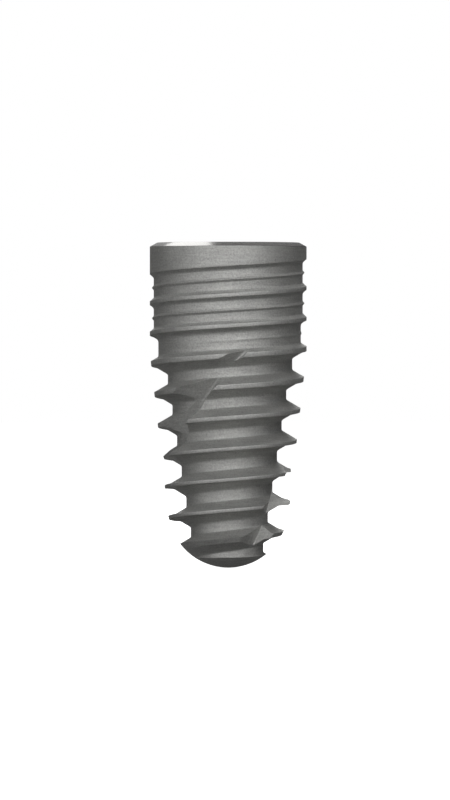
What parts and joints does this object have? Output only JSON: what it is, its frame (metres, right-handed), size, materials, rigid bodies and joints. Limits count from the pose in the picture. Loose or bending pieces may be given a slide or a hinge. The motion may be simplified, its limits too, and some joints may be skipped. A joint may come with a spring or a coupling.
{
  "type": "dental implant",
  "caption": "Tapered, threaded titanium implant body with a bevelled platform, a hexagonal socket over a screw bore, helical cutting flutes and a domed apex.",
  "frame": {"origin": "centre of the platform, the flat ring that the abutment sits on", "axes": "+Z along the implant's axis, out of the socket; the apex points down -Z; flats of the hexagonal socket face +Y and -Y"},
  "size_m": [0.0042, 0.0042, 0.0085],
  "materials": {
    "blasted_titanium": "blasted and etched, matt grey, with a machined bevel, platform and socket"
  },
  "bodies": {
    "root": {"implant_fixture": "blasted_titanium"}
  },
  "joints": []
}
